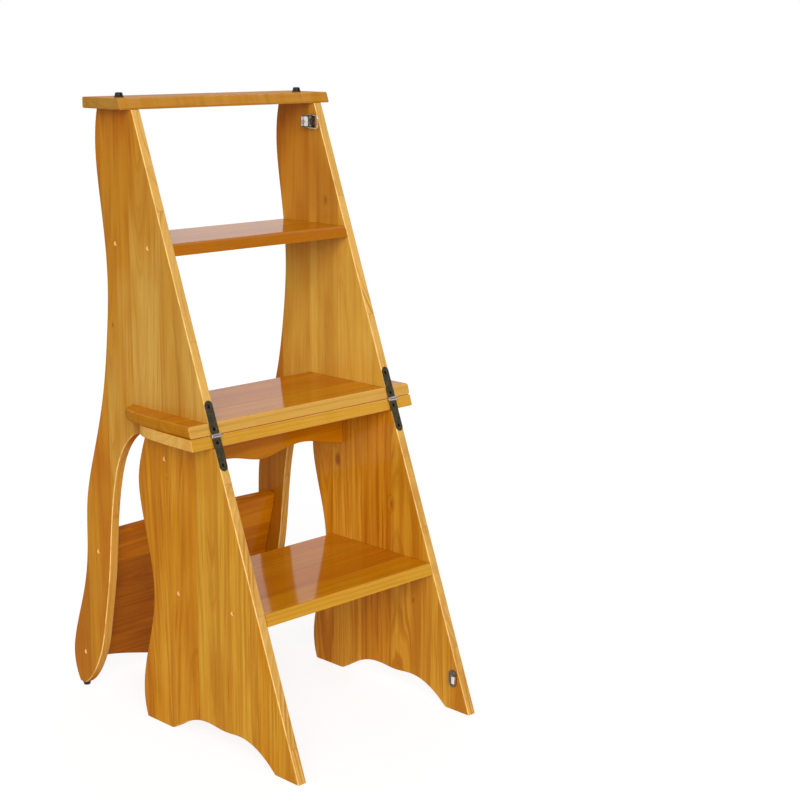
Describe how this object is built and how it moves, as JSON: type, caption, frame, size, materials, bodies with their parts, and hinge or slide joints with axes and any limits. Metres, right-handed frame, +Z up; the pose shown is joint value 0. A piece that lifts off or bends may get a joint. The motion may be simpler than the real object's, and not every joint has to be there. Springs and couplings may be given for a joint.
{
  "type": "folding step stool chair",
  "caption": "Wooden ladder chair standing as a step ladder: shaped side panels, treads and a hinged seat whose upper half turns over to make a chair with a backrest.",
  "frame": {"origin": "on the floor under the middle of the whole object's bounding box, as it stands as a ladder", "axes": "+X to the object's own right seen from the front, +Y to its back, where the posts stand, and +Z up"},
  "size_m": [0.417, 0.5172, 0.9],
  "materials": {
    "panel_wood": "gloss lacquer",
    "board_wood": "gloss lacquer",
    "plug_wood": "satin",
    "dowel_wood": "plain",
    "screw_steel": "zinc plated",
    "hinge_bronze": "dark bronze",
    "pin_steel": "satin",
    "latch_nickel": "nickel plated",
    "bumper_rubber": "matte"
  },
  "bodies": {
    "lower_half": {"lower_panel_left": "panel_wood", "lower_panel_right": "panel_wood", "lower_step": "board_wood", "lower_seat_board": "board_wood", "seat_apron": "board_wood", "lower_seat_dowels": "dowel_wood", "lower_step_screws": "screw_steel", "lower_step_plugs": "plug_wood", "apron_screws": "screw_steel", "apron_plugs": "plug_wood", "hinge_lower_leaf_left": "hinge_bronze", "hinge_lower_leaf_right": "hinge_bronze", "hinge_pins": "pin_steel", "hinge_lower_screws": "hinge_bronze", "latch_strike": "latch_nickel", "latch_strike_screws": "latch_nickel"},
    "upper_half": {"upper_panel_left": "panel_wood", "upper_panel_right": "panel_wood", "upper_seat_board": "board_wood", "upper_step": "board_wood", "top_board": "board_wood", "backrest": "board_wood", "upper_seat_dowels": "dowel_wood", "top_board_dowels": "dowel_wood", "upper_step_screws": "screw_steel", "upper_step_plugs": "plug_wood", "backrest_screws": "screw_steel", "backrest_plugs": "plug_wood", "top_bumpers": "bumper_rubber", "post_bumpers": "bumper_rubber", "hinge_upper_leaf_left": "hinge_bronze", "hinge_upper_leaf_right": "hinge_bronze", "hinge_upper_screws": "hinge_bronze", "latch_plate": "latch_nickel", "latch_plate_screws": "latch_nickel", "latch_rivets": "latch_nickel"},
    "latch_lever_body": {"latch_lever": "latch_nickel"},
    "latch_bail_body": {"latch_bail": "latch_nickel"}
  },
  "joints": [
    {"name": "fold", "type": "hinge", "parent": "lower_half", "child": "upper_half", "pos_m": [0, -0.09096, 0.45], "axis": [1, 0, 0], "range_deg": [0, 180]},
    {"name": "latch_lever_turn", "type": "hinge", "parent": "upper_half", "child": "latch_lever_body", "pos_m": [0.1552, 0.07219, 0.851], "axis": [0, 0, 1], "range_deg": [0, 150]},
    {"name": "latch_bail_swing", "type": "hinge", "parent": "latch_lever_body", "child": "latch_bail_body", "pos_m": [0.1563, 0.07719, 0.851], "axis": [0, 0, 1], "range_deg": [-135, 0]}
  ],
  "couplings": [
    {"joint": "latch_bail_swing", "follows": "latch_lever_turn", "ratio": -0.9}
  ]
}
